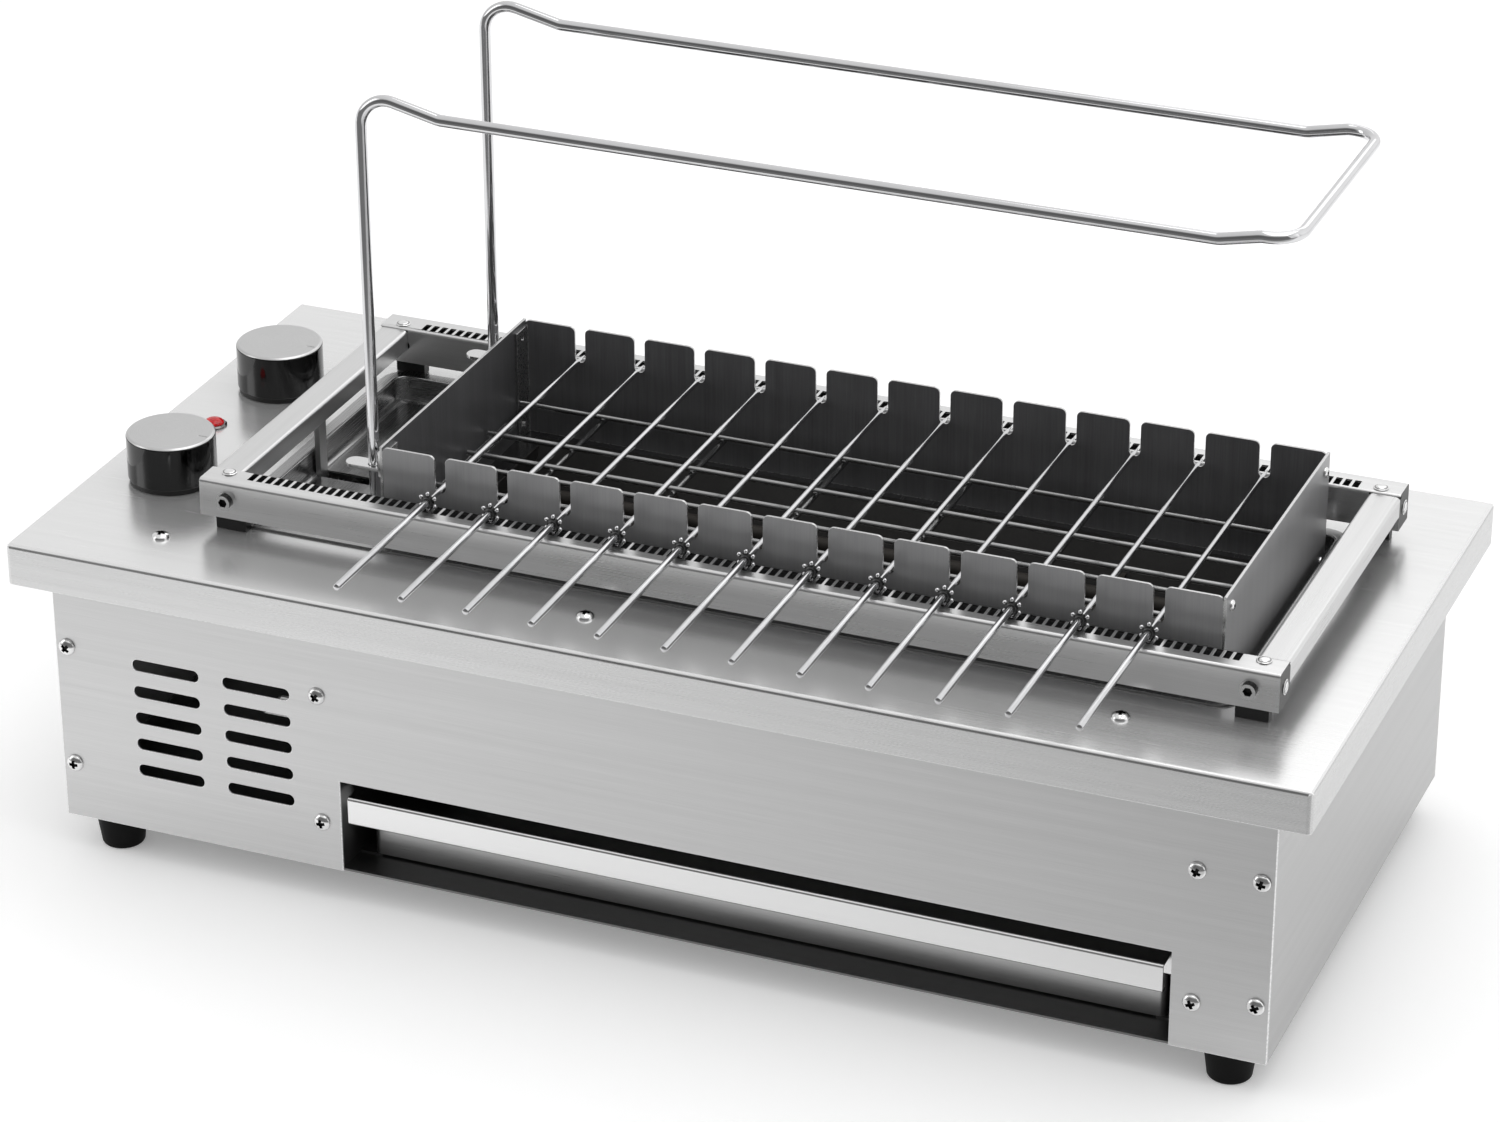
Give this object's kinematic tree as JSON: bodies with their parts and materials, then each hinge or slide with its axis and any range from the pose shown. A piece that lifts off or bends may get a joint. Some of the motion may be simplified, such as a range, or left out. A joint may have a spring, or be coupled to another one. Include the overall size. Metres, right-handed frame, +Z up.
{
  "type": "electric skewer grill",
  "caption": "Counter-top electric skewer grill in brushed steel with a sliding slotted frame that turns geared skewers, a wire keep-warm rack, knobs and a drip drawer.",
  "frame": {"origin": "middle of the whole grill's outline, at the feet's undersides", "axes": "+X to the right along the cabinet, +Y to the rear, +Z up; skewer handles point to -Y"},
  "size_m": [0.7, 0.3754, 0.4225],
  "materials": {
    "brushed_panel": "fine horizontal brushing, satin",
    "brushed_plate": "fine long brushing, half gloss",
    "brushed_frame": "fine brushing along each rail",
    "bright_steel": "bright, almost polished",
    "drawer_steel": "satin",
    "inner_steel": "plain mill finish",
    "well_steel": "smooth, half gloss",
    "dark_steel": "heat-darkened satin",
    "dark_satin": "smooth dark grey satin",
    "element_sheath": "dull heat-darkened sheath",
    "bright_wire": "bright drawn wire",
    "rack_chrome": "polished",
    "skewer_steel": "bright drawn steel",
    "bright_screw": "bright, slightly worn",
    "knob_metal": "turned, brushed round the top",
    "black_rubber": "matt",
    "black_plastic": "satin",
    "ivory_plastic": "satin",
    "red_lens": "clear red, glossy"
  },
  "bodies": {
    "cabinet": {"base_plate": "inner_steel", "front_panel": "brushed_panel", "rear_panel": "brushed_panel", "left_side_panel": "brushed_panel", "right_side_panel": "brushed_panel", "top_plate": "brushed_plate", "feet": "black_rubber", "panel_screws": "bright_screw", "top_screws": "bright_screw", "left_partition": "inner_steel", "right_partition": "inner_steel", "well_liner": "well_steel", "heat_reflector": "dark_steel", "heating_elements": "element_sheath", "grate": "bright_wire", "front_notched_plate": "dark_satin", "rear_notched_plate": "dark_satin", "left_end_plate": "dark_satin", "right_end_plate": "dark_satin", "box_screws": "bright_screw", "rack_eyelets": "brushed_frame", "rack_sockets": "inner_steel", "gear_motor": "inner_steel", "speed_control": "black_plastic", "thermostat": "black_plastic", "lamp_lens": "red_lens", "lamp_bezel": "rack_chrome", "terminal_block": "ivory_plastic", "cable_gland": "black_plastic", "drawer_runners": "inner_steel"},
    "slotted_frame": {"front_rail": "brushed_frame", "rear_rail": "brushed_frame", "left_bar": "brushed_frame", "right_bar": "brushed_frame", "frame_rivets": "bright_screw", "glide_bolts": "bright_screw", "glide_blocks": "black_plastic", "drive_rack": "inner_steel"},
    "pinion": {"drive_pinion": "inner_steel"},
    "keep_warm_rack": {"wire_rack": "rack_chrome"},
    "speed_knob": {"front_knob": "knob_metal", "front_knob_core": "black_plastic"},
    "heat_knob": {"rear_knob": "knob_metal", "rear_knob_core": "black_plastic"},
    "drawer": {"drip_drawer": "drawer_steel", "drawer_handle": "bright_steel"},
    "spit_01": {"skewer_01": "skewer_steel"},
    "spit_02": {"skewer_02": "skewer_steel"},
    "spit_03": {"skewer_03": "skewer_steel"},
    "spit_04": {"skewer_04": "skewer_steel"},
    "spit_05": {"skewer_05": "skewer_steel"},
    "spit_06": {"skewer_06": "skewer_steel"},
    "spit_07": {"skewer_07": "skewer_steel"},
    "spit_08": {"skewer_08": "skewer_steel"},
    "spit_09": {"skewer_09": "skewer_steel"},
    "spit_10": {"skewer_10": "skewer_steel"},
    "spit_11": {"skewer_11": "skewer_steel"},
    "spit_12": {"skewer_12": "skewer_steel"}
  },
  "joints": [
    {"name": "frame_slide", "type": "slide", "parent": "cabinet", "child": "slotted_frame", "axis": [1, 0, 0], "range_m": [0, 0.028]},
    {"name": "pinion_spin", "type": "hinge", "parent": "cabinet", "child": "pinion", "pos_m": [-0.2258, 0.03062, 0.13], "axis": [0, 0, 1], "range_deg": [-1, 180]},
    {"name": "rack_lift", "type": "slide", "parent": "cabinet", "child": "keep_warm_rack", "axis": [0, 0, 1], "range_m": [0, 0.08]},
    {"name": "speed_turn", "type": "hinge", "parent": "cabinet", "child": "speed_knob", "pos_m": [-0.307, -0.04525, 0.19], "axis": [0, 0, -1], "range_deg": [0, 270]},
    {"name": "heat_turn", "type": "hinge", "parent": "cabinet", "child": "heat_knob", "pos_m": [-0.307, 0.07975, 0.19], "axis": [0, 0, -1], "range_deg": [0, 270]},
    {"name": "drawer_slide", "type": "slide", "parent": "cabinet", "child": "drawer", "axis": [0, -1, 0], "range_m": [0, 0.2]},
    {"name": "spit_01_turn", "type": "hinge", "parent": "cabinet", "child": "spit_01", "pos_m": [-0.138, -0.08325, 0.21518], "axis": [0, -1, 0], "range_deg": [-1, 338]},
    {"name": "spit_02_turn", "type": "hinge", "parent": "cabinet", "child": "spit_02", "pos_m": [-0.103, -0.08325, 0.21518], "axis": [0, -1, 0], "range_deg": [-1, 338]},
    {"name": "spit_03_turn", "type": "hinge", "parent": "cabinet", "child": "spit_03", "pos_m": [-0.068, -0.08325, 0.21518], "axis": [0, -1, 0], "range_deg": [-1, 338]},
    {"name": "spit_04_turn", "type": "hinge", "parent": "cabinet", "child": "spit_04", "pos_m": [-0.033, -0.08325, 0.21518], "axis": [0, -1, 0], "range_deg": [-1, 338]},
    {"name": "spit_05_turn", "type": "hinge", "parent": "cabinet", "child": "spit_05", "pos_m": [0.002, -0.08325, 0.21518], "axis": [0, -1, 0], "range_deg": [-1, 338]},
    {"name": "spit_06_turn", "type": "hinge", "parent": "cabinet", "child": "spit_06", "pos_m": [0.037, -0.08325, 0.21518], "axis": [0, -1, 0], "range_deg": [-1, 338]},
    {"name": "spit_07_turn", "type": "hinge", "parent": "cabinet", "child": "spit_07", "pos_m": [0.072, -0.08325, 0.21518], "axis": [0, -1, 0], "range_deg": [-1, 338]},
    {"name": "spit_08_turn", "type": "hinge", "parent": "cabinet", "child": "spit_08", "pos_m": [0.107, -0.08325, 0.21518], "axis": [0, -1, 0], "range_deg": [-1, 338]},
    {"name": "spit_09_turn", "type": "hinge", "parent": "cabinet", "child": "spit_09", "pos_m": [0.142, -0.08325, 0.21518], "axis": [0, -1, 0], "range_deg": [-1, 338]},
    {"name": "spit_10_turn", "type": "hinge", "parent": "cabinet", "child": "spit_10", "pos_m": [0.177, -0.08325, 0.21518], "axis": [0, -1, 0], "range_deg": [-1, 338]},
    {"name": "spit_11_turn", "type": "hinge", "parent": "cabinet", "child": "spit_11", "pos_m": [0.212, -0.08325, 0.21518], "axis": [0, -1, 0], "range_deg": [-1, 338]},
    {"name": "spit_12_turn", "type": "hinge", "parent": "cabinet", "child": "spit_12", "pos_m": [0.247, -0.08325, 0.21518], "axis": [0, -1, 0], "range_deg": [-1, 338]}
  ],
  "couplings": [
    {"joint": "pinion_spin", "follows": "frame_slide", "rad_per_m": 111.11},
    {"joint": "spit_01_turn", "follows": "frame_slide", "rad_per_m": 209.44},
    {"joint": "spit_02_turn", "follows": "frame_slide", "rad_per_m": 209.44},
    {"joint": "spit_03_turn", "follows": "frame_slide", "rad_per_m": 209.44},
    {"joint": "spit_04_turn", "follows": "frame_slide", "rad_per_m": 209.44},
    {"joint": "spit_05_turn", "follows": "frame_slide", "rad_per_m": 209.44},
    {"joint": "spit_06_turn", "follows": "frame_slide", "rad_per_m": 209.44},
    {"joint": "spit_07_turn", "follows": "frame_slide", "rad_per_m": 209.44},
    {"joint": "spit_08_turn", "follows": "frame_slide", "rad_per_m": 209.44},
    {"joint": "spit_09_turn", "follows": "frame_slide", "rad_per_m": 209.44},
    {"joint": "spit_10_turn", "follows": "frame_slide", "rad_per_m": 209.44},
    {"joint": "spit_11_turn", "follows": "frame_slide", "rad_per_m": 209.44},
    {"joint": "spit_12_turn", "follows": "frame_slide", "rad_per_m": 209.44}
  ]
}
